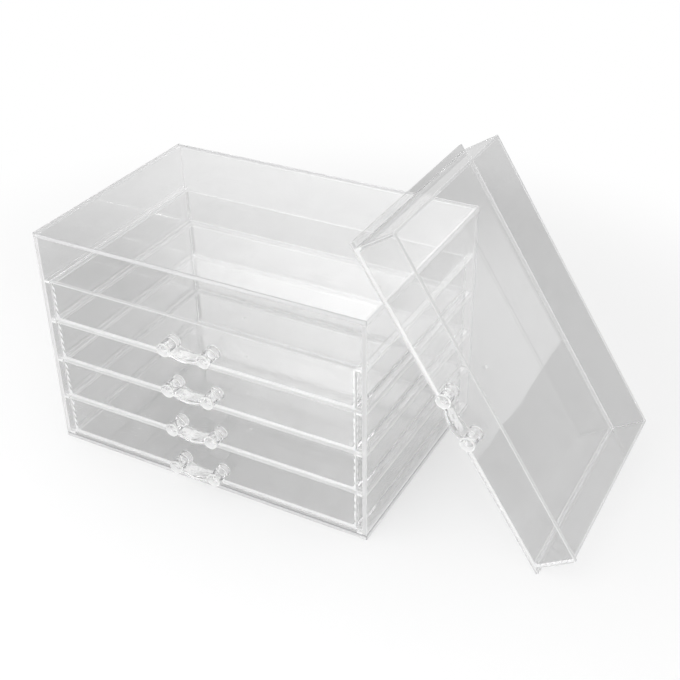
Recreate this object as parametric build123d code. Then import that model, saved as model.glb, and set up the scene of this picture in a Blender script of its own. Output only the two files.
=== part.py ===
# Clear jewellery box: an open-fronted cabinet with five pull-out drawers, one of them taken out
# and leant against the cabinet's right-hand side.
# Millimetres, +Z up, -Y to the front. The origin is the centre of the cabinet's underside.
import os
from math import asin, cos, radians, sin
from build123d import *

# cabinet
cabinet_width = 240.0
cabinet_depth = 162.0
cabinet_height = 162.0
panel = 3.2                  # thickness of the cabinet's clear sheet
panel_edge = 0.5             # rounding on the outer edges of a panel
cement = 0.05                # cement line between two bonded pieces

# bays and ledges
bays = 5
ledge_width = 4.0            # how far a ledge stands out of the side wall
ledge_height = 1.8
ledge_edge = 0.3             # rounding on a ledge's long inner edges

# running clearances
slide_gap = 0.3              # under, beside and above a moving tray
front_gap = 0.7              # between one drawer front and the next
back_gap = 1.0               # between a closed tray and the back panel
rim_gap = 2.35               # between a tray's rim and the underside of the tray above

# tray
tray_wall = 2.0
tray_floor = 2.4
tray_corner = 2.0            # inside radius of the upright corners and round the floor
tray_edge = 0.6              # outside rounding of the two back corners
rail_height = 1.8            # rail along the foot of each side, which rides on the ledges
gate_from_front = 57.0       # moulding mark on the tray's floor
gate_radius = 1.2
gate_height = 0.35

# drawer front
front_plate = 3.0
front_edge = 0.5

# pull
pull_height = 13.2           # of the post axes above the drawer's underside
post_spacing = 29.6
post_length = 13.5
post_end_radius = 4.75       # flared ends
post_waist_radius = 4.25
post_flare = 2.0             # length of the flare at each end
post_bore_radius = 3.2
post_bore_depth = 9.5
web_sheet = 2.0
web_width = 11.2
web_from_plate = 1.2         # space behind the web
web_sag = 4.7

# the drawer that is out
lean_tilt = 57.2             # degrees, of the tray's floor from level
lean_setback = 20.0          # of its front behind the cabinet's front
lean_gap = 0.3               # between its underside and the cabinet's edge

# worked out from the values above
half_width = cabinet_width / 2
front_y = -cabinet_depth / 2
wall_in = half_width - panel                  # inner face of a side panel
back_in = cabinet_depth / 2 - panel           # inner face of the back panel
first_level = panel + cement + ledge_height   # top of the lowest ledge
bay_pitch = (cabinet_height - panel - first_level) / bays
ledge_in = wall_in - cement - ledge_width     # inner face of a ledge
tray_half = ledge_in - slide_gap
rail_half = wall_in - slide_gap
tray_depth = back_in - back_gap - (front_y + front_plate + cement)
tray_height = bay_pitch - rim_gap
front_height = bay_pitch - front_gap


def level(bay):
    return first_level + bay * bay_pitch


def block(x0, x1, y0, y1, z0, z1):
    centre = Pos((x0 + x1) / 2, (y0 + y1) / 2, (z0 + z1) / 2)
    return centre * Box(x1 - x0, y1 - y0, z1 - z0)


def long_edges(solid, axis):
    return solid.edges().filter_by(axis)


# cabinet panels: the top and bottom cover the sides, and the back stands between all four
def lying_panel(z0):
    body = block(-half_width, half_width, front_y, -front_y, z0, z0 + panel)
    return fillet(long_edges(body, Axis.Z), panel_edge)


def side_panel(side):
    inner, outer = side * wall_in, side * half_width
    body = block(min(inner, outer), max(inner, outer), front_y, -front_y,
                 panel + cement, cabinet_height - panel - cement)
    outside = long_edges(body, Axis.Z).sort_by(Axis.X)
    return fillet(outside[-2:] if side > 0 else outside[:2], panel_edge)


def back_panel():
    return block(-wall_in + cement, wall_in - cement, back_in, -front_y,
                 panel + cement, cabinet_height - panel - cement)


def ledge(side, bay):
    inner, outer = side * ledge_in, side * (wall_in - cement)
    body = block(min(inner, outer), max(inner, outer), front_y, back_in - cement,
                 level(bay) - ledge_height, level(bay))
    inside = long_edges(body, Axis.Y).sort_by(Axis.X)
    return fillet(inside[:2] if side > 0 else inside[-2:], ledge_edge)


# one drawer in its own place: x from the middle, y back from the front face, z up from the underside
def tray():
    y0 = front_plate + cement
    y1 = y0 + tray_depth
    shell = block(-tray_half, tray_half, y0, y1, 0, tray_height)
    shell = fillet(long_edges(shell, Axis.Z).group_by(Axis.Y)[-1], tray_edge)
    inner_half = tray_half - tray_wall
    hollow = block(-inner_half, inner_half, y0 - tray_corner, y1 - tray_wall,
                   tray_floor, tray_height + tray_corner)
    rounded = long_edges(hollow, Axis.Z).group_by(Axis.Y)[-1] + hollow.faces().sort_by(Axis.Z)[0].edges()
    shell -= fillet(rounded, tray_corner)
    for side in (-1, 1):
        inner, outer = side * (tray_half - tray_wall / 2), side * rail_half
        shell += block(min(inner, outer), max(inner, outer), y0, y1, 0, rail_height)
    mark = Pos(0, gate_from_front, tray_floor + gate_height / 2) * Cylinder(gate_radius, gate_height)
    return shell + mark


def drawer_front():
    outline = Rectangle(2 * tray_half, front_height, align=(Align.CENTER, Align.MIN))
    outline += Rectangle(2 * rail_half, rail_height, align=(Align.CENTER, Align.MIN))
    plate = extrude(Plane.XZ * outline, -front_plate)
    rims = plate.edges().filter_by(Axis.X).group_by(Axis.Z)[-1]
    return fillet(rims, front_edge)


def post():
    end, waist = post_end_radius, post_waist_radius
    profile = Polyline((0, 0), (end, 0), (waist, post_flare), (waist, post_length - post_flare),
                       (end, post_length), (post_bore_radius, post_length),
                       (post_bore_radius, post_length - post_bore_depth),
                       (0, post_length - post_bore_depth), close=True)
    turned = revolve(Plane.XZ * make_face(profile), Axis.Z)
    return Rot(90, 0, 0) * turned


def pull():
    # the web follows one arc through both post axes
    half = post_spacing / 2
    radius = (half ** 2 + web_sag ** 2) / (2 * web_sag)
    half_angle = asin(half / radius)
    centre_z = radius - web_sag
    ring = Circle(radius + web_sheet / 2) - Circle(radius - web_sheet / 2)
    reach = 2 * radius
    spread = reach * sin(half_angle)
    drop = reach * cos(half_angle)
    wedge = make_face(Polyline((0, 0), (-spread, -drop), (-spread, -reach - radius),
                               (spread, -reach - radius), (spread, -drop), close=True))
    strip = Pos(0, centre_z) * (ring & wedge)
    web = extrude(Plane.XZ * strip, web_width)
    body = Pos(0, -web_from_plate, 0) * web
    bore = Cylinder(post_bore_radius, post_bore_depth, align=(Align.CENTER, Align.CENTER, Align.MIN))
    for side in (-1, 1):
        body += Pos(side * half, 0, 0) * post()
        body -= Pos(side * half, post_bore_depth - post_length, 0) * Rot(90, 0, 0) * bore
    return Pos(0, -cement, pull_height) * body


def bay_place(bay):
    return Pos(0, front_y, level(bay) + slide_gap)


def lean_place():
    # the rail's low corner stands on the table and the underside meets the cabinet's top edge
    tilt = radians(lean_tilt)
    lift = rail_half * sin(tilt)
    reach = (cos(tilt) * (cabinet_height - lift) + lean_gap) / sin(tilt)
    return Pos(half_width + reach, front_y + lean_setback, lift) * Rot(0, lean_tilt, 0)


def build():
    parts = {
        "bottom_panel": lying_panel(0),
        "top_panel": lying_panel(cabinet_height - panel),
        "left_side_panel": side_panel(-1),
        "right_side_panel": side_panel(1),
        "back_panel": back_panel(),
    }
    for bay in range(bays):
        parts[f"left_ledge_{bay + 1}"] = ledge(-1, bay)
        parts[f"right_ledge_{bay + 1}"] = ledge(1, bay)
    pieces = {"tray": tray(), "front": drawer_front(), "pull": pull()}
    for bay in range(bays):
        place = bay_place(bay) if bay < bays - 1 else lean_place()
        for name, solid in pieces.items():
            parts[f"{name}_{bay + 1}"] = place * solid
    return parts


os.makedirs("parts", exist_ok=True)
for name, solid in build().items():
    solid.label = name
    export_step(solid, f"parts/{name}.step")
print("bay pitch", round(bay_pitch, 3), "front height", round(front_height, 3))
print("tray depth", round(tray_depth, 3), "tray height", round(tray_height, 3))
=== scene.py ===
import math

import bmesh
import bpy
from mathutils import Matrix, Vector


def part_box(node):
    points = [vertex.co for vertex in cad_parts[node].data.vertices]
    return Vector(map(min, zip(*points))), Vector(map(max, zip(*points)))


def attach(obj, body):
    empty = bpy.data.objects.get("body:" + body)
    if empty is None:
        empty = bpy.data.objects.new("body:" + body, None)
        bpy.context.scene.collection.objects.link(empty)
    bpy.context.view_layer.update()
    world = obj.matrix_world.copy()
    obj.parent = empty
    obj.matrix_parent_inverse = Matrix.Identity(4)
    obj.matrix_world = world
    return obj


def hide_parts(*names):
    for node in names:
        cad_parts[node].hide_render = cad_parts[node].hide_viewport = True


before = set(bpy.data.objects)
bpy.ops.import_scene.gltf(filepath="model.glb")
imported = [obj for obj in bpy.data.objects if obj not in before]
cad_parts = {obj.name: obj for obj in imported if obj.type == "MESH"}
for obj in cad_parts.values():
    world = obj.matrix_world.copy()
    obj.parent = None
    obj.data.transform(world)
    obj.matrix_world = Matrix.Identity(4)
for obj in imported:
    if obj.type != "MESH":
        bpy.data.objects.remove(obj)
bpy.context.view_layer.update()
mm = 0.001
bays = 5
print("frame loaded,", len(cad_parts), "nodes")

# how the helpers tell one place, side or edge from another
tell = {
    "hair": 0.01 * mm,      # places this near each other count as one
    "near": 0.1 * mm,       # a face this near a plane or a radius lies on it
    "flat": 0.97,           # a face this square to an axis is a flat side, any other is an arris
    "lean": 0.2,            # an arris that leans this far to the front or back is named after it
    "square": 0.01,         # a tray's side face turns no further than this from the axis
    "sharp": 0.5,           # edges that turn by more than this angle get softened
}
sideNames = (("left", "right"), ("front", "back"), ("under", "top"))


# small helpers for meshes
def boxMesh(low, high):
    bm = bmesh.new()
    size = Vector(high) - Vector(low)
    middle = (Vector(high) + Vector(low)) / 2
    bmesh.ops.create_cube(bm, size=1)
    bmesh.ops.scale(bm, vec=size, verts=bm.verts)
    bmesh.ops.translate(bm, vec=middle, verts=bm.verts)
    return bm


def roundEdges(bm, edges, radius, segments):
    bmesh.ops.bevel(bm, geom=edges, offset=radius, offset_type="OFFSET", affect="EDGES",
                    segments=segments, profile=0.5, material=-1, clamp_overlap=True)


def once(items):
    # each item once, in the order in which they come
    return list(dict.fromkeys(items))


def isSharp(edge):
    return len(edge.link_faces) == 2 and edge.calc_face_angle(0) > tell["sharp"]


def faceSide(face):
    axis = max(range(3), key=lambda i: abs(face.normal[i]))
    if abs(face.normal[axis]) >= tell["flat"]:
        return sideNames[axis][face.normal[axis] > 0]
    if face.normal.y > tell["lean"]:
        return "backArris"
    if face.normal.y < -tell["lean"]:
        return "frontArris"
    return "arris"


def markCuts(bm, look):
    # look gives the frosting of a sheet's cut sides and the painted shade that greys them, which the shader
    # mixes in
    rim = bm.faces.layers.float.new("rim")
    paintedShade = bm.faces.layers.float.new("paintedShade")
    bm.normal_update()
    for face in bm.faces:
        side = faceSide(face)
        otherwise = look["arris"] if side.endswith("Arris") else (0, 0)
        face[rim], face[paintedShade] = look.get(side, otherwise)


def meshObject(bm, name):
    mesh = bpy.data.meshes.new(name)
    bm.to_mesh(mesh)
    bm.free()
    made = bpy.data.objects.new(name, mesh)
    bpy.context.scene.collection.objects.link(made)
    return made


def finishPiece(bm, name, body, material, place=None, replaces=(), smooth=False):
    bm.normal_update()
    piece = meshObject(bm, name)
    mesh = piece.data
    # the saw marks follow the piece's own coordinates, from before it is put in its place
    own = mesh.attributes.new("own", "FLOAT_VECTOR", "POINT")
    flat = [0.0] * (3 * len(mesh.vertices))
    mesh.vertices.foreach_get("co", flat)
    own.data.foreach_set("vector", flat)
    if place is not None:
        mesh.transform(place)
    if smooth:
        mesh.shade_smooth()
    mesh.materials.append(material)
    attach(piece, body)
    if replaces:
        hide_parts(*replaces)
    return piece


# finishes
finish = {
    "ior": 1.49,
    "sheetTint": (0.97, 0.97, 0.97),
    "stripTint": (0.97, 0.97, 0.97),
    "trayTint": (0.955, 0.955, 0.955),
    "plateTint": (0.98, 0.98, 0.98),
    "pullTint": (0.99, 0.99, 0.99),
    "frostColour": (0.96, 0.96, 0.96),
    # the grey that the painted shade on darker edges mixes into the frosting
    "paintedShadeColour": (0.32, 0.32, 0.33),
    "frostRoughness": 0.45,
    "frostThrough": 0.3,
    "lampTint": (0.965, 0.965, 0.965),
}
# handling marks and moulding ripple
hazeLook = {
    "scale": 60, "detail": 4, "roughness": 0.6, "from": 0.45, "to": 0.75,
    "haze": 0.02, "base": 0.008, "tint": 0.97,
    "ripple": 14, "rippleDetail": 1, "bump": 0.03, "bumpDistance": 0.002,
}
# tool marks across a sawn edge: one for each pitch in the dot product of slant and the place in metres
sawLook = {"slant": (1600, 300, 1000), "pitch": 5.2, "from": 0.3, "to": 0.6, "low": 0.35, "high": 0.85}


def newNode(tree, kind, at, sockets=None, **settings):
    # sockets are given by name or number: a Mix node's colours are 6 and 7, its plain values 2 and 3
    node = tree.nodes.new(kind)
    node.location = at
    for key, value in settings.items():
        setattr(node, key, value)
    for key, value in (sockets or {}).items():
        node.inputs[key].default_value = value
    return node


def buildHaze():
    # faint handling marks and moulding ripple: gives a tint mask, a roughness and a height
    tree = bpy.data.node_groups.new("handlingHaze", "ShaderNodeTree")
    for title, default in (("Scale", hazeLook["scale"]), ("Haze", hazeLook["haze"]),
                           ("Base Roughness", hazeLook["base"]), ("Ripple", hazeLook["ripple"])):
        socket = tree.interface.new_socket(title, in_out="INPUT", socket_type="NodeSocketFloat")
        socket.default_value = default
    tree.interface.new_socket("Vector", in_out="INPUT", socket_type="NodeSocketVector")
    for title in ("Mask", "Roughness", "Height"):
        tree.interface.new_socket(title, in_out="OUTPUT", socket_type="NodeSocketFloat")
    source = newNode(tree, "NodeGroupInput", (-900, 0))
    result = newNode(tree, "NodeGroupOutput", (500, 0))
    smear = newNode(tree, "ShaderNodeTexNoise", (-600, 150),
                    {"Detail": hazeLook["detail"], "Roughness": hazeLook["roughness"]})
    ripple = newNode(tree, "ShaderNodeTexNoise", (-600, -150), {"Detail": hazeLook["rippleDetail"]})
    soft = newNode(tree, "ShaderNodeMapRange", (-300, 150),
                   {"From Min": hazeLook["from"], "From Max": hazeLook["to"]})
    scaled = newNode(tree, "ShaderNodeMath", (-50, 50), operation="MULTIPLY_ADD")
    link = tree.links.new
    link(source.outputs["Vector"], smear.inputs["Vector"])
    link(source.outputs["Vector"], ripple.inputs["Vector"])
    link(source.outputs["Scale"], smear.inputs["Scale"])
    link(source.outputs["Ripple"], ripple.inputs["Scale"])
    link(smear.outputs["Fac"], soft.inputs["Value"])
    link(soft.outputs["Result"], scaled.inputs[0])
    link(source.outputs["Haze"], scaled.inputs[1])
    link(source.outputs["Base Roughness"], scaled.inputs[2])
    link(soft.outputs["Result"], result.inputs["Mask"])
    link(scaled.outputs[0], result.inputs["Roughness"])
    link(ripple.outputs["Fac"], result.inputs["Height"])
    return tree


haze = buildHaze()


def addSawMarks(tree, rim):
    # adds slanting tool marks to the frosting, by the cement mask and in the piece's own coordinates
    link = tree.links.new
    cement = newNode(tree, "ShaderNodeAttribute", (-900, 700), attribute_name="cement")
    own = newNode(tree, "ShaderNodeAttribute", (-900, 900), attribute_name="own")
    along = newNode(tree, "ShaderNodeVectorMath", (-700, 1250), {1: sawLook["slant"]},
                    operation="DOT_PRODUCT")
    turns = newNode(tree, "ShaderNodeMath", (-500, 1250), {1: sawLook["pitch"]}, operation="DIVIDE")
    part = newNode(tree, "ShaderNodeMath", (-300, 1250), operation="FRACT")
    soft = newNode(tree, "ShaderNodeMapRange", (-100, 1250),
                   {"From Min": sawLook["from"], "From Max": sawLook["to"],
                    "To Min": sawLook["low"], "To Max": sawLook["high"]}, interpolation_type="SMOOTHSTEP")
    share = newNode(tree, "ShaderNodeMath", (0, 450), operation="MULTIPLY_ADD", use_clamp=True)
    link(own.outputs["Vector"], along.inputs[0])
    link(along.outputs["Value"], turns.inputs[0])
    link(turns.outputs[0], part.inputs[0])
    link(part.outputs[0], soft.inputs["Value"])
    link(cement.outputs["Fac"], share.inputs[0])
    link(soft.outputs["Result"], share.inputs[1])
    link(rim, share.inputs[2])
    return share.outputs[0]


def addFrost(tree, sawn):
    # cut edges scatter light both ways: gives their shader and how much of it each face takes
    link = tree.links.new
    rim = newNode(tree, "ShaderNodeAttribute", (-900, 500), attribute_name="rim")
    paintedShade = newNode(tree, "ShaderNodeAttribute", (-300, 1050), attribute_name="paintedShade")
    # the painted shade greys the frosting of the edges that are to look darker
    tone = newNode(tree, "ShaderNodeMix", (0, 800),
                   {6: (*finish["frostColour"], 1), 7: (*finish["paintedShadeColour"], 1)}, data_type="RGBA")
    frosted = newNode(tree, "ShaderNodeBsdfPrincipled", (300, 900), {"Roughness": finish["frostRoughness"]})
    through = newNode(tree, "ShaderNodeBsdfTranslucent", (300, 500))
    bothWays = newNode(tree, "ShaderNodeMixShader", (600, 700), {0: finish["frostThrough"]})
    link(paintedShade.outputs["Fac"], tone.inputs[0])
    link(tone.outputs[2], frosted.inputs["Base Color"])
    link(tone.outputs[2], through.inputs["Color"])
    link(frosted.outputs[0], bothWays.inputs[1])
    link(through.outputs[0], bothWays.inputs[2])
    share = rim.outputs["Fac"]
    if sawn:
        share = addSawMarks(tree, share)
    return bothWays.outputs[0], share


def clearMaterial(name, tint, bump=hazeLook["bump"], ripple=hazeLook["ripple"], sawn=False):
    material = bpy.data.materials.new(name)
    material.use_nodes = True
    tree = material.node_tree
    tree.nodes.clear()
    link = tree.links.new
    hazeTint = [c * hazeLook["tint"] for c in tint]
    out = newNode(tree, "ShaderNodeOutputMaterial", (1150, 0))
    glass = newNode(tree, "ShaderNodeBsdfPrincipled", (300, 0),
                    {"IOR": finish["ior"], "Transmission Weight": 1.0})
    coords = newNode(tree, "ShaderNodeTexCoord", (-900, 0))
    marks = newNode(tree, "ShaderNodeGroup", (-600, 0), {"Ripple": ripple}, node_tree=haze)
    faint = newNode(tree, "ShaderNodeMix", (-300, 100), {6: (*tint, 1), 7: (*hazeTint, 1)}, data_type="RGBA")
    relief = newNode(tree, "ShaderNodeBump", (0, -200),
                     {"Strength": bump, "Distance": hazeLook["bumpDistance"]})
    edged = newNode(tree, "ShaderNodeMixShader", (700, 100))
    link(coords.outputs["Object"], marks.inputs["Vector"])
    link(marks.outputs["Mask"], faint.inputs[0])
    link(faint.outputs[2], glass.inputs["Base Color"])
    link(marks.outputs["Roughness"], glass.inputs["Roughness"])
    link(marks.outputs["Height"], relief.inputs["Height"])
    link(relief.outputs["Normal"], glass.inputs["Normal"])
    frost, share = addFrost(tree, sawn)
    link(share, edged.inputs[0])
    link(glass.outputs[0], edged.inputs[1])
    link(frost, edged.inputs[2])
    # lamps shine through, so that the box throws a soft pale shadow
    lampWay = newNode(tree, "ShaderNodeBsdfTransparent", (600, -500), {"Color": (*finish["lampTint"], 1)})
    path = newNode(tree, "ShaderNodeLightPath", (300, 400))
    lampRay = newNode(tree, "ShaderNodeMath", (600, 400), operation="MAXIMUM")
    mix = newNode(tree, "ShaderNodeMixShader", (900, 0))
    link(path.outputs["Is Shadow Ray"], lampRay.inputs[0])
    link(path.outputs["Is Diffuse Ray"], lampRay.inputs[1])
    link(lampRay.outputs[0], mix.inputs[0])
    link(edged.outputs[0], mix.inputs[1])
    link(lampWay.outputs[0], mix.inputs[2])
    link(mix.outputs[0], out.inputs["Surface"])
    return material


clearSheet = clearMaterial("clearSheet", finish["sheetTint"])
ledgeStrip = clearMaterial("ledgeStrip", finish["stripTint"])
mouldedTray = clearMaterial("mouldedTray", finish["trayTint"], bump=0.06, sawn=True)
polishedPlate = clearMaterial("polishedPlate", finish["plateTint"])
mouldedPull = clearMaterial("mouldedPull", finish["pullTint"], bump=0.3, ripple=220)
cementRing = clearMaterial("cementRing", finish["pullTint"])
print("finishes built")


# cabinet: five sheets with softened edges; each cut side has a frosting and a painted shade that greys it
panelShape = {"edge": 0.45 * mm, "segments": 3}
panelLook = {
    "bottom_panel": {"front": (0.6, 0.15), "back": (0.6, 0.2), "left": (0.6, 0.1), "right": (0.6, 0.0),
                     "arris": (0.95, 0.9)},
    "top_panel": {"front": (0.7, 0.25), "back": (0.85, 0.3), "left": (0.8, 0.1), "right": (0.8, 0.0),
                  "arris": (0.95, 0.2), "frontArris": (0.95, 0.6), "backArris": (0.98, 0.8)},
    "left_side_panel": {"front": (0.6, 0.15), "back": (0.8, 0.4), "top": (0.7, 0.0), "arris": (0.8, 0.1)},
    "right_side_panel": {"front": (0.6, 0.2), "back": (0.85, 0.6), "top": (0.8, 0.0), "arris": (0.8, 0.1),
                         "frontArris": (0.8, 0.25), "backArris": (0.95, 0.7)},
    "back_panel": {"left": (0.8, 0.3), "right": (0.8, 0.3), "under": (0.8, 0.3), "top": (0.8, 0.2),
                   "arris": (0.9, 0.3)},
}


def buildPanel(node):
    bm = boxMesh(*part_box(node))
    roundEdges(bm, bm.edges[:], panelShape["edge"], panelShape["segments"])
    markCuts(bm, panelLook[node])
    finishPiece(bm, node.replace("_panel", "_sheet"), "cabinet", clearSheet, replaces=(node,))


# ledges: sawn strips along the side walls; the side bonded to the wall is frosted by the cement
ledgeShape = {"edge": 0.3 * mm, "segments": 2}
ledgeLook = {"left": (0.1, 0), "right": (0.1, 0), "front": (0.95, 0), "back": (0.4, 0), "arris": (0.7, 0)}
bondedLook = (0.8, 0.0)


def buildLedge(side, bay):
    node = f"{side}_ledge_{bay}"
    bm = boxMesh(*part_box(node))
    roundEdges(bm, bm.edges[:], ledgeShape["edge"], ledgeShape["segments"])
    markCuts(bm, {**ledgeLook, side: bondedLook})
    finishPiece(bm, f"{side}_runner_{bay}", "cabinet", ledgeStrip, replaces=(node,))


for node in panelLook:
    buildPanel(node)
for side in ("left", "right"):
    for bay in range(1, bays + 1):
        buildLedge(side, bay)
print("cabinet built")


# drawer sizes, read from the lowest drawer, which stands square in its bay
trayLow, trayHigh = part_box("tray_1")
plateLow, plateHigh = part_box("front_1")
drawer = {
    "railHalf": plateHigh.x, "trayHalf": 112.45 * mm, "railHeight": 1.8 * mm,
    "leanTilt": math.radians(57.2),
}
tray = {
    "front": trayLow.y - plateLow.y, "back": trayHigh.y - plateLow.y, "height": trayHigh.z - trayLow.z,
    "wall": 2.0 * mm, "floor": 2.4 * mm,
    "spare": 8 * mm,        # cut off again to leave the front end open
    "corner": 2.0 * mm, "cornerSegments": 5,
    "outerCorner": 0.6 * mm, "outerSegments": 3,
    "rimEdge": 0.35 * mm, "rimSegments": 2, "rimBand": 0.5 * mm,
    "sawnFrom": 5 * mm,     # the walls' ends above this show the saw
    "gateAt": 57 * mm, "gateRadius": 1.2 * mm, "gateHeight": 0.35 * mm, "gateTaper": 0.8, "gateSegments": 20,
    "filletSlope": (0.3, 0.95), "filletEdgeSlope": (0.1, 0.999),
}
# frosting of the tray's cut and moulded edges, and the painted shade that greys them
trayLook = {
    "rimFlat": (0.7, 0.2), "rimArris": (0.8, 0.1), "floorEnd": (0.9, 0.0), "rail": (0.85, 0.35),
    # the inside fillet's frosting is a painted highlight along it, with painted shade greying its middle
    "upperEnd": (0.6, 0.5), "filletEdge": (0.6, 0.1), "fillet": (0.5, 0.3),
}
plate = {
    "thickness": plateHigh.y - plateLow.y, "height": plateHigh.z - plateLow.z,
    "edge": 0.4 * mm, "segments": 2,
}
# frosting of the plate's cut sides, and the painted shade that greys them
plateLook = {"left": (0.6, 0.3), "right": (0.6, 0.3), "under": (0.6, 0.1), "top": (0.7, 0.3),
             "arris": (0.8, 0.15)}


def drawerPlace(bay):
    low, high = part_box(f"front_{bay}")
    if bay < bays:
        return Matrix.Translation((0, low.y, low.z))
    turn = Matrix.Rotation(drawer["leanTilt"], 4, "Y")
    # the tilted plate's lowest corner and leftmost corner give the place
    corners = [turn @ Vector((x, 0, z)) for x in (-drawer["railHalf"], drawer["railHalf"])
               for z in (0, drawer["railHeight"])]
    corners += [turn @ Vector((x, 0, plate["height"])) for x in (-drawer["trayHalf"], drawer["trayHalf"])]
    lowX = min(c.x for c in corners)
    lowZ = min(c.z for c in corners)
    return Matrix.Translation((low.x - lowX, low.y, low.z - lowZ)) @ turn


def addRails(bm):
    # a low strip grown out of each side face, along its foot
    half, reach, height = drawer["trayHalf"], drawer["railHalf"], drawer["railHeight"]
    geom = bm.verts[:] + bm.edges[:] + bm.faces[:]
    bmesh.ops.bisect_plane(bm, geom=geom, plane_co=(0, 0, height), plane_no=(0, 0, 1))
    for side in (-1, 1):
        feet = [f for f in bm.faces
                if abs(f.normal.x - side) < tell["square"] and f.calc_center_median().z < height
                and abs(f.calc_center_median().x - side * half) < tell["near"]]
        grown = bmesh.ops.extrude_discrete_faces(bm, faces=feet)["faces"]
        moved = once(v for f in grown for v in f.verts)
        bmesh.ops.translate(bm, vec=(side * (reach - half), 0, 0), verts=moved)


def closeCut(bm):
    openEdges = [e for e in bm.edges if e.is_boundary]
    bmesh.ops.holes_fill(bm, edges=openEdges, sides=0)
    bmesh.ops.recalc_face_normals(bm, faces=bm.faces[:])


def hollowTray():
    # a box sunk from above, with rounded inside corners, and its front end cut off
    half, height, front = drawer["trayHalf"], tray["height"], tray["front"]
    bm = boxMesh((-half, front - tray["spare"], 0), (half, tray["back"], height))
    bm.normal_update()
    top = max(bm.faces, key=lambda f: f.calc_center_median().z)
    bmesh.ops.inset_region(bm, faces=[top], thickness=tray["wall"], use_even_offset=True)
    sunk = bmesh.ops.extrude_discrete_faces(bm, faces=[top])["faces"][0]
    bmesh.ops.translate(bm, vec=(0, 0, tray["floor"] - height), verts=sunk.verts)
    inner = list(sunk.edges)
    for v in sunk.verts:
        inner += [e for e in v.link_edges if abs(e.verts[0].co.z - e.verts[1].co.z) > tray["floor"]]
    roundEdges(bm, once(inner), tray["corner"], tray["cornerSegments"])
    geom = bm.verts[:] + bm.edges[:] + bm.faces[:]
    bmesh.ops.bisect_plane(bm, geom=geom, plane_co=(0, front, 0), plane_no=(0, -1, 0), clear_outer=True)
    closeCut(bm)
    return bm


def markTray(bm, gate, bay):
    # each face's frosting, and the painted shade that greys it
    rim = bm.faces.layers.float.new("rim")
    paintedShade = bm.faces.layers.float.new("paintedShade")
    cement = bm.faces.layers.float.new("cement")
    bm.normal_update()
    filletFrom, filletTo = tray["filletSlope"]
    edgeFrom, edgeTo = tray["filletEdgeSlope"]
    for face in bm.faces:
        middle, slope = face.calc_center_median(), face.normal.z
        look = None
        if middle.z > tray["height"] - tray["rimBand"]:
            look = "rimFlat" if slope > tell["flat"] else "rimArris"
        elif all(v in gate for v in face.verts):
            look = "rimArris"
        elif abs(middle.x) > drawer["railHalf"] - tell["hair"]:
            look = "rail"
        # the fillet's frosted faces draw painted highlight lines
        elif tray["floor"] < middle.z < tray["floor"] + tray["corner"] and edgeFrom < slope < edgeTo:
            look = "fillet" if filletFrom < slope < filletTo else "filletEdge"
        elif middle.y < tray["front"] + tell["hair"]:
            # the floor's cemented end is plain, and so is the leaning drawer's upper wall end, which is
            # greyed by a painted shade
            if middle.z < tray["sawnFrom"]:
                look = "floorEnd"
            elif bay == bays and middle.x < 0:
                look = "upperEnd"
            else:
                face[cement] = 1.0
        if look:
            face[rim], face[paintedShade] = trayLook[look]


def buildTray(bay):
    half, height, front, back = drawer["trayHalf"], tray["height"], tray["front"], tray["back"]
    hair = tell["hair"]
    bm = hollowTray()
    ends = [f for f in bm.faces if f.calc_center_median().y < front + hair]
    geom = ends + once(e for f in ends for e in f.edges) + once(v for f in ends for v in f.verts)
    bmesh.ops.bisect_plane(bm, geom=geom, plane_co=(0, 0, tray["sawnFrom"]), plane_no=(0, 0, 1))
    upright = [e for e in bm.edges if all(v.co.y > back - hair for v in e.verts)
               and abs(e.verts[0].co.x) > half - hair
               and abs(e.verts[0].co.z - e.verts[1].co.z) > height / 2]
    roundEdges(bm, upright, tray["outerCorner"], tray["outerSegments"])
    addRails(bm)
    rims = [e for e in bm.edges if all(v.co.z > height - hair for v in e.verts)
            and not all(abs(v.co.y - front) < hair for v in e.verts) and isSharp(e)]
    roundEdges(bm, rims, tray["rimEdge"], tray["rimSegments"])
    radius, deep = tray["gateRadius"], tray["gateHeight"]
    gate = bmesh.ops.create_cone(bm, cap_ends=True, segments=tray["gateSegments"], radius1=radius,
                                 radius2=radius * tray["gateTaper"], depth=deep)["verts"]
    bmesh.ops.translate(bm, vec=(0, tray["gateAt"], tray["floor"] + deep / 2), verts=gate)
    markTray(bm, gate, bay)
    return bm


def buildPlate():
    half = drawer["trayHalf"]
    bm = boxMesh((-half, 0, 0), (half, plate["thickness"], plate["height"]))
    bm.normal_update()
    addRails(bm)
    roundEdges(bm, [e for e in bm.edges if isSharp(e)], plate["edge"], plate["segments"])
    markCuts(bm, plateLook)
    return bm


# pull: two hollow flared posts and the web between them, cut from one moulding
pull = {
    "height": 13.2 * mm, "spacing": 29.6 * mm, "length": 13.5 * mm, "cement": 0.05 * mm,
    "endRadius": 4.75 * mm, "waistRadius": 4.25 * mm, "flare": 2.0 * mm, "flareSteps": 5, "lip": 0.35 * mm,
    "boreRadius": 3.2 * mm, "boreDepth": 9.5 * mm, "boreChamfer": 0.6 * mm, "borePast": 2 * mm,
    "mouthRadius": 4.05 * mm, "mouthDepth": 3.0 * mm,
    "webSheet": 2.0 * mm, "webWidth": 11.2 * mm, "webFromPlate": 1.2 * mm, "webSag": 4.7 * mm,
    "webSteps": 28, "webEdge": 0.5 * mm, "webSegments": 2, "webCorner": (1.2, 1.9),
    "steps": 40, "weld": 0.001 * mm, "smoothBelow": math.radians(35),
}
# frosting of each part of the pull, and how its faces are told apart; the lower halves of the ring and mouth
# are frosted whiter than the upper ones, a painted highlight
pullLook = {"ringLow": 1.0, "ringHigh": 0.6, "mouthLow": 1.0, "mouthHigh": 0.0, "bore": 0.15, "boreEnd": 0.1,
            "foot": 0.7, "post": 0.05, "web": 0.15}
pullTell = {"ringBand": 0.6 * mm, "footBand": 0.2 * mm, "endOn": 0.9, "flaring": 0.05}


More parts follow.
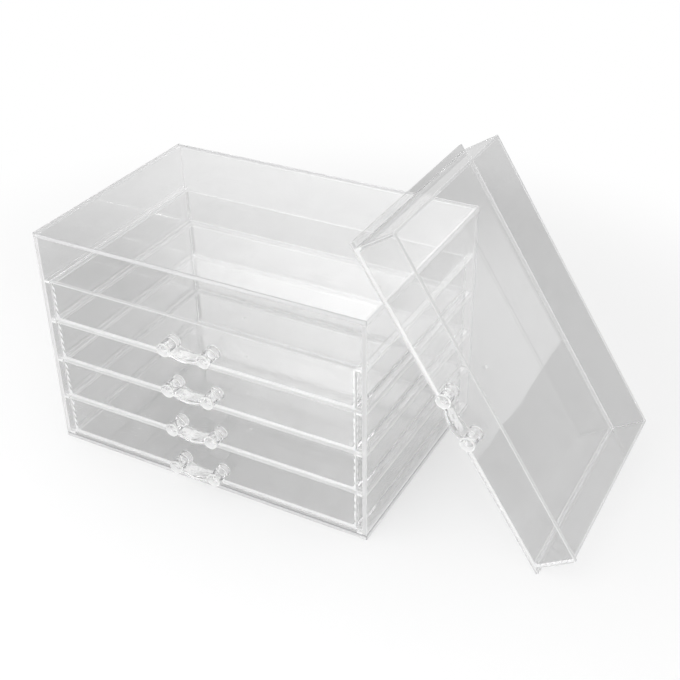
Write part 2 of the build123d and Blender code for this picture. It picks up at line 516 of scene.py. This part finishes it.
def spinProfile(points, centreX):
    # points are (radius, distance out from the plate); the axis runs along -Y through centreX
    bm = bmesh.new()
    ring = [bm.verts.new((centreX + r, -out, 0)) for r, out in points]
    edges = [bm.edges.new(pair) for pair in zip(ring, ring[1:])]
    bmesh.ops.spin(bm, geom=ring + edges, cent=(centreX, 0, 0), axis=(0, 1, 0), dvec=(0, 0, 0),
                   angle=2 * math.pi, steps=pull["steps"], use_merge=True)
    bmesh.ops.remove_doubles(bm, verts=bm.verts, dist=pull["weld"])
    bmesh.ops.recalc_face_normals(bm, faces=bm.faces[:])
    return bm


def postProfile():
    end, waist, lip, length = pull["endRadius"], pull["waistRadius"], pull["lip"], pull["length"]
    points = [(0, 0), (end - lip, 0), (end, lip)]
    for i in range(1, pull["flareSteps"] + 1):
        # the flare eases into the waist along half a cosine
        share = i / pull["flareSteps"]
        radius = waist + (end - waist) * (1 + math.cos(math.pi * share)) / 2
        points.append((radius, lip + pull["flare"] * share))
    mirrored = [(r, length - out) for r, out in reversed(points)]
    return points + mirrored


def boreProfile():
    radius, chamfer, length = pull["boreRadius"], pull["boreChamfer"], pull["length"]
    start, past = length - pull["boreDepth"], length + pull["borePast"]
    return [(0, start), (radius - chamfer, start), (radius, start + chamfer),
            (radius, length - pull["mouthDepth"]), (pull["mouthRadius"], length + tell["hair"]),
            (pull["mouthRadius"], past), (0, past)]


def buildWeb():
    half, sag = pull["spacing"] / 2, pull["webSag"]
    radius = (half ** 2 + sag ** 2) / (2 * sag)
    halfAngle = math.asin(half / radius)
    sheet, width, start = pull["webSheet"], pull["webWidth"], pull["webFromPlate"]
    bm = bmesh.new()
    section = [bm.verts.new((0, -start - width * b, -radius + sheet * (a - 0.5)))
               for a, b in ((0, 0), (1, 0), (1, 1), (0, 1))]
    face = bm.faces.new(section)
    bmesh.ops.rotate(bm, cent=(0, 0, 0), matrix=Matrix.Rotation(halfAngle, 3, "Y"), verts=section)
    bmesh.ops.spin(bm, geom=[face] + list(face.edges) + section, cent=(0, 0, 0), axis=(0, 1, 0),
                   dvec=(0, 0, 0), angle=-2 * halfAngle, steps=pull["webSteps"])
    bmesh.ops.recalc_face_normals(bm, faces=bm.faces[:])
    cornerFrom, cornerTo = pull["webCorner"]
    long = [e for e in bm.edges if len(e.link_faces) == 2 and cornerFrom < e.calc_face_angle(0) < cornerTo
            and abs(e.verts[0].co.y - e.verts[1].co.y) < tell["hair"]]
    roundEdges(bm, long, pull["webEdge"], pull["webSegments"])
    bmesh.ops.translate(bm, vec=(0, 0, radius - sag), verts=bm.verts)
    return bm


def joinSolids(base, steps):
    # runs the booleans on base and gives the result back as a bmesh
    for tool, how in steps:
        cut = base.modifiers.new(tool.name, "BOOLEAN")
        cut.operation = how
        cut.solver = "EXACT"
        cut.object = tool
    bpy.context.view_layer.update()
    result = bmesh.new()
    result.from_object(base, bpy.context.evaluated_depsgraph_get())
    for loose in [base] + [tool for tool, how in steps]:
        mesh = loose.data
        bpy.data.objects.remove(loose)
        bpy.data.meshes.remove(mesh)
    return result


def pullPart(face, up):
    # which part of the pull a face belongs to; up is the world's upward direction as the drawer sees it
    middle, normal = face.calc_center_median(), face.normal
    length = pull["length"]
    centreX = math.copysign(pull["spacing"] / 2, middle.x)
    offset = Vector((middle.x - centreX, 0, middle.z))
    inward = normal.dot(offset) < 0
    # the half below the post's axis, as the world's up has it, is frosted whiter: a painted highlight
    height = "Low" if offset.dot(up) < 0 else "High"
    if middle.y < pullTell["ringBand"] - length and not (inward and normal.y > -pullTell["endOn"]):
        return "ring" + height
    if inward and middle.y < pull["mouthDepth"] - length and normal.y < -pullTell["flaring"]:
        return "mouth" + height
    if offset.length < pull["boreRadius"] + tell["near"]:
        return "bore" if abs(normal.y) < pullTell["endOn"] else "boreEnd"
    if middle.y > -pullTell["footBand"]:
        return "foot"
    return "post" if offset.length < pull["endRadius"] + tell["near"] else "web"


def buildPull(up):
    blanks = {"postBlank": (postProfile(), "UNION"), "boreBlank": (boreProfile(), "DIFFERENCE")}
    web = meshObject(buildWeb(), "webBlank")
    steps = []
    for name, (profile, how) in blanks.items():
        for side in (-1, 1):
            steps.append((meshObject(spinProfile(profile, side * pull["spacing"] / 2), name), how))
    bm = joinSolids(web, steps)
    bm.normal_update()
    rim = bm.faces.layers.float.new("rim")
    for face in bm.faces:
        face[rim] = pullLook[pullPart(face, up)]
    bmesh.ops.translate(bm, vec=(0, -pull["cement"], pull["height"]), verts=bm.verts)
    return bm


# cement squeezed out to a ring under each post: it fills most of the gap and goes a little into the plate
bond = {"inner": 3.5 * mm, "outer": 4.6 * mm, "fill": 0.9, "depth": 0.03 * mm, "frost": 0.9}


def buildBonds():
    bm = bmesh.new()
    inner, outer = bond["inner"], bond["outer"]
    front, back = -bond["fill"] * pull["cement"], bond["depth"]
    for side in (-1, 1):
        centreX = side * pull["spacing"] / 2
        section = [bm.verts.new((centreX + r, y, pull["height"]))
                   for r, y in ((inner, front), (outer, front), (outer, back), (inner, back))]
        edges = [bm.edges.new(pair) for pair in zip(section, section[1:] + section[:1])]
        bmesh.ops.spin(bm, geom=section + edges, cent=(centreX, 0, pull["height"]), axis=(0, 1, 0),
                       dvec=(0, 0, 0), angle=2 * math.pi, steps=pull["steps"], use_merge=True)
    bmesh.ops.recalc_face_normals(bm, faces=bm.faces[:])
    rim = bm.faces.layers.float.new("rim")
    for face in bm.faces:
        face[rim] = bond["frost"]
    return bm


def buildDrawer(bay):
    place = drawerPlace(bay)
    body = f"drawer_{bay}"
    finishPiece(buildTray(bay), f"drawer_tray_{bay}", body, mouldedTray, place,
                (f"tray_{bay}",))
    finishPiece(buildPlate(), f"drawer_plate_{bay}", body, polishedPlate, place,
                (f"front_{bay}",))
    # the world's up picks the half of each post that carries the painted highlight
    up = place.to_3x3().inverted() @ Vector((0, 0, 1))
    piece = finishPiece(buildPull(up), f"drawer_pull_{bay}", body, mouldedPull, place,
                        (f"pull_{bay}",), smooth=True)
    piece.data.set_sharp_from_angle(angle=pull["smoothBelow"])
    finishPiece(buildBonds(), f"pull_bond_{bay}", body, cementRing, place=place)


for bay in range(1, bays + 1):
    buildDrawer(bay)
print("drawers built")


# studio: pale floor, white surroundings, soft lamps
studio = {
    "floorColour": (0.95, 0.95, 0.95), "floorRadius": 6.0, "floorSegments": 64, "floorDrop": 0.05 * mm,
    "fadeFrom": 0.28, "fadeTo": 0.55,           # the shadowed floor goes over to plain white between these
    # through clear sheet the floor and backdrop carry a painted shade
    "shadeThroughSheet": 0.67, "mirrored": 0.85,      # how the pale floor and backdrop look in clear sheet
    # the floor seen through clear sheet gets a painted shade that deepens towards the back
    "farFrom": 0.24, "farTo": 0.46, "backShadeTone": 0.79,
    "ambient": 0.64,
    "ceilingLow": 0.60, "ceilingHigh": 0.82, "ceiling": 0.72,
    "roomLow": 0.12, "roomHigh": 0.40, "roomNear": 0.8, "roomTone": 0.54,
    "unseen": 0.01,                             # rays that see less than this gather light instead
}


# soft panels that only the gloss shows, by direction, spread in degrees and strength
glows = {
    "behind": {"at": (-0.16, 0.87, 0.463), "wide": 33.0, "narrow": 6.0, "strength": 1.8},
    "side": {"at": (0.60, 0.80, 0.02), "wide": 9.0, "narrow": 3.0, "strength": 0.9},
}


def seenWhite(tree, at):
    # 1 for what a camera ray sees, less in the gloss and through clear sheet, 0 for gathered light
    path = newNode(tree, "ShaderNodeLightPath", at)
    through = newNode(tree, "ShaderNodeMath", (at[0] + 200, at[1] - 200), {1: studio["shadeThroughSheet"]},
                      operation="MULTIPLY")
    mirrored = newNode(tree, "ShaderNodeMath", (at[0] + 200, at[1] - 400), {1: studio["mirrored"]},
                       operation="MULTIPLY")
    first = newNode(tree, "ShaderNodeMath", (at[0] + 200, at[1]), operation="MAXIMUM")
    second = newNode(tree, "ShaderNodeMath", (at[0] + 400, at[1]), operation="MAXIMUM")
    link = tree.links.new
    link(path.outputs["Is Transmission Ray"], through.inputs[0])
    link(path.outputs["Is Camera Ray"], first.inputs[0])
    link(path.outputs["Is Glossy Ray"], mirrored.inputs[0])
    link(mirrored.outputs[0], first.inputs[1])
    link(first.outputs[0], second.inputs[0])
    link(through.outputs[0], second.inputs[1])
    return second.outputs[0]


def smoothRange(tree, at, low, high, first=0.0, last=1.0):
    # goes smoothly from first to last while the value goes from low to high
    return newNode(tree, "ShaderNodeMapRange", at, {"From Min": low, "From Max": high, "To Min": first,
                                                    "To Max": last}, interpolation_type="SMOOTHSTEP")


def floorMaterial():
    material = bpy.data.materials.new("paleFloor")
    material.use_nodes = True
    tree = material.node_tree
    tree.nodes.clear()
    link = tree.links.new
    out = newNode(tree, "ShaderNodeOutputMaterial", (900, 0))
    paint = newNode(tree, "ShaderNodeBsdfDiffuse", (300, 100))
    glow = newNode(tree, "ShaderNodeEmission", (300, -100))
    mix = newNode(tree, "ShaderNodeMixShader", (650, 0))
    coords = newNode(tree, "ShaderNodeTexCoord", (-900, 0))
    path = newNode(tree, "ShaderNodeLightPath", (-250, 400))
    white = seenWhite(tree, (-900, -400))
    # through clear sheet the floor is painted greyer, a painted shade that darkens towards the back
    split = newNode(tree, "ShaderNodeSeparateXYZ", (-900, 600))
    distance = smoothRange(tree, (-700, 600), studio["farFrom"], studio["farTo"], 1.0, studio["backShadeTone"])
    throughBackShade = newNode(tree, "ShaderNodeMix", (-450, 600), {2: 1.0})
    throughShade = newNode(tree, "ShaderNodeMix", (-450, 800), {2: 1.0, 3: studio["shadeThroughSheet"]})
    paintLevel = newNode(tree, "ShaderNodeMath", (-200, 700), operation="MULTIPLY")
    tone = newNode(tree, "ShaderNodeVectorMath", (0, 250), {0: studio["floorColour"]}, operation="SCALE")
    glowLevel = newNode(tree, "ShaderNodeMath", (50, -250), operation="MULTIPLY")
    link(coords.outputs["Object"], split.inputs[0])
    link(split.outputs["Y"], distance.inputs["Value"])
    link(path.outputs["Is Transmission Ray"], throughBackShade.inputs[0])
    link(distance.outputs["Result"], throughBackShade.inputs[3])
    link(path.outputs["Is Transmission Ray"], throughShade.inputs[0])
    link(throughBackShade.outputs[0], paintLevel.inputs[0])
    link(throughShade.outputs[0], paintLevel.inputs[1])
    link(paintLevel.outputs[0], tone.inputs["Scale"])
    link(tone.outputs["Vector"], paint.inputs["Color"])
    link(white, glowLevel.inputs[0])
    link(throughBackShade.outputs[0], glowLevel.inputs[1])
    link(glowLevel.outputs[0], glow.inputs["Strength"])
    # painted and shadowed near the box, plain white further out
    length = newNode(tree, "ShaderNodeVectorMath", (-650, 0), operation="LENGTH")
    fade = smoothRange(tree, (-400, 0), studio["fadeFrom"], studio["fadeTo"])
    seen = newNode(tree, "ShaderNodeMath", (-250, 100), {1: studio["unseen"]}, operation="GREATER_THAN")
    both = newNode(tree, "ShaderNodeMath", (0, 0), operation="MULTIPLY")
    link(coords.outputs["Object"], length.inputs[0])
    link(length.outputs["Value"], fade.inputs["Value"])
    link(white, seen.inputs[0])
    link(fade.outputs["Result"], both.inputs[0])
    link(seen.outputs[0], both.inputs[1])
    link(both.outputs[0], mix.inputs[0])
    link(paint.outputs[0], mix.inputs[1])
    link(glow.outputs[0], mix.inputs[2])
    link(mix.outputs[0], out.inputs["Surface"])
    return material


def buildFloor():
    bm = bmesh.new()
    bmesh.ops.create_circle(bm, cap_ends=True, segments=studio["floorSegments"], radius=studio["floorRadius"])
    bmesh.ops.translate(bm, vec=(0, 0, -studio["floorDrop"]), verts=bm.verts)
    floor = meshObject(bm, "studio_floor")
    floor.data.materials.append(floorMaterial())


def addGlows(tree, direction):
    # the sum of all the glows in a direction
    link = tree.links.new
    shine = None
    for row, glow in enumerate(glows.values()):
        y = -300 - 300 * row
        toward = newNode(tree, "ShaderNodeVectorMath", (-700, y), {1: Vector(glow["at"]).normalized()},
                         operation="DOT_PRODUCT")
        spread = smoothRange(tree, (-500, y), math.cos(math.radians(glow["wide"])),
                             math.cos(math.radians(glow["narrow"])), 0.0, glow["strength"])
        link(direction, toward.inputs[0])
        link(toward.outputs["Value"], spread.inputs["Value"])
        if shine is None:
            shine = spread.outputs["Result"]
        else:
            both = newNode(tree, "ShaderNodeMath", (-300, y), operation="ADD")
            link(spread.outputs["Result"], both.inputs[0])
            link(shine, both.inputs[1])
            shine = both.outputs[0]
    return shine


def buildWorld():
    world = bpy.data.worlds.new("studioAir")
    bpy.context.scene.world = world
    world.use_nodes = True
    tree = world.node_tree
    tree.nodes.clear()
    link = tree.links.new
    out = newNode(tree, "ShaderNodeOutputWorld", (700, 0))
    sky = newNode(tree, "ShaderNodeBackground", (400, 0), {"Color": (1, 1, 1, 1)})
    coords = newNode(tree, "ShaderNodeTexCoord", (-900, -300))
    path = newNode(tree, "ShaderNodeLightPath", (-700, -1000))
    white = seenWhite(tree, (-600, 0))
    # the room above is dimmer than the white sweep, which shows in the gloss of the lying sheets
    height = newNode(tree, "ShaderNodeSeparateXYZ", (-700, 300))
    room = smoothRange(tree, (-500, 300), studio["roomLow"], studio["roomHigh"],
                       studio["roomNear"], studio["roomTone"])
    ceiling = smoothRange(tree, (-500, 600), studio["ceilingLow"], studio["ceilingHigh"],
                          0.0, studio["ceiling"])
    upper = newNode(tree, "ShaderNodeMath", (-350, 450), operation="ADD")
    backdrop = newNode(tree, "ShaderNodeMath", (-200, 300), operation="MAXIMUM")
    level = newNode(tree, "ShaderNodeMath", (100, 0), operation="MULTIPLY")
    link(coords.outputs["Generated"], height.inputs[0])
    link(height.outputs["Z"], room.inputs["Value"])
    link(height.outputs["Z"], ceiling.inputs["Value"])
    link(room.outputs["Result"], upper.inputs[0])
    link(ceiling.outputs["Result"], upper.inputs[1])
    link(upper.outputs[0], backdrop.inputs[0])
    link(path.outputs["Is Camera Ray"], backdrop.inputs[1])
    link(white, level.inputs[0])
    link(backdrop.outputs[0], level.inputs[1])
    # what isn't seen lights the scene evenly
    gathered = newNode(tree, "ShaderNodeMath", (-100, -100), {1: studio["unseen"]}, operation="LESS_THAN")
    air = newNode(tree, "ShaderNodeMath", (100, -200), {1: studio["ambient"]}, operation="MULTIPLY_ADD")
    link(white, gathered.inputs[0])
    link(gathered.outputs[0], air.inputs[0])
    link(level.outputs[0], air.inputs[2])
    # the glows show in clear sheet only
    bounced = newNode(tree, "ShaderNodeMath", (-500, -1000), operation="MAXIMUM")
    glowSeen = newNode(tree, "ShaderNodeMath", (-100, -400), operation="MULTIPLY")
    total = newNode(tree, "ShaderNodeMath", (250, -150), operation="ADD")
    link(path.outputs["Is Glossy Ray"], bounced.inputs[0])
    link(path.outputs["Is Transmission Ray"], bounced.inputs[1])
    link(addGlows(tree, coords.outputs["Generated"]), glowSeen.inputs[0])
    link(bounced.outputs[0], glowSeen.inputs[1])
    link(air.outputs[0], total.inputs[0])
    link(glowSeen.outputs[0], total.inputs[1])
    link(total.outputs[0], sky.inputs["Strength"])
    link(sky.outputs[0], out.inputs["Surface"])


# only the small sparkle shows in the gloss; the large lamps would draw broken lines inside the sheets
lamps = {
    "overhead": {"place": (-0.55, -0.75, 1.35), "size": (1.4, 1.4), "power": 12.0, "gloss": False},
    "sparkle": {"place": (0.9, -0.9, 1.1), "size": (0.18, 0.18), "power": 1.4, "gloss": True},
    "fill": {"place": (1.2, -1.4, 0.55), "size": (0.9, 0.9), "power": 9.0, "gloss": False},
}
lampTarget = Vector((0.05, 0, 0.08))


def buildLamp(name, look):
    light = bpy.data.lights.new(name, "AREA")
    light.shape = "RECTANGLE"
    light.size, light.size_y = look["size"]
    light.energy = look["power"]
    lamp = bpy.data.objects.new(name, light)
    lamp.location = look["place"]
    aim = lampTarget - Vector(look["place"])
    lamp.rotation_euler = aim.to_track_quat("-Z", "Y").to_euler()
    lamp.visible_camera = False
    lamp.visible_glossy = lamp.visible_transmission = look["gloss"]
    bpy.context.scene.collection.objects.link(lamp)


buildFloor()
buildWorld()
for name, look in lamps.items():
    buildLamp(name, look)
print("studio built")


# camera at the photograph's viewing angle
camera = {
    "azimuth": math.radians(28.685), "elevation": math.radians(32.522), "roll": math.radians(-0.947),
    "place": Vector((0.3644, -0.5586, 0.4921)), "lens": 60.2, "sensor": 36.0, "clip": (0.01, 50),
}


def buildCamera():
    data = bpy.data.cameras.new("photoCamera")
    data.lens, data.sensor_width = camera["lens"], camera["sensor"]
    data.clip_start, data.clip_end = camera["clip"]
    view = bpy.data.objects.new("photoCamera", data)
    bpy.context.scene.collection.objects.link(view)
    turn = Matrix.Rotation(camera["azimuth"], 4, "Z")
    tip = Matrix.Rotation(math.pi / 2 - camera["elevation"], 4, "X")
    lean = Matrix.Rotation(camera["roll"], 4, "Z")
    view.matrix_world = Matrix.Translation(camera["place"]) @ turn @ tip @ lean
    bpy.context.scene.camera = view


buildCamera()

# light runs far along the inside of a clear sheet, so it gets many bounces
bounces = {"sheet": 110, "lampWay": 64}
scene = bpy.context.scene
scene.view_settings.view_transform = "Standard"
scene.cycles.max_bounces = bounces["sheet"]
scene.cycles.transmission_bounces = bounces["sheet"]
scene.cycles.glossy_bounces = bounces["sheet"]
scene.cycles.transparent_max_bounces = bounces["lampWay"]
scene.cycles.caustics_reflective = False
scene.cycles.caustics_refractive = False
print("camera set")
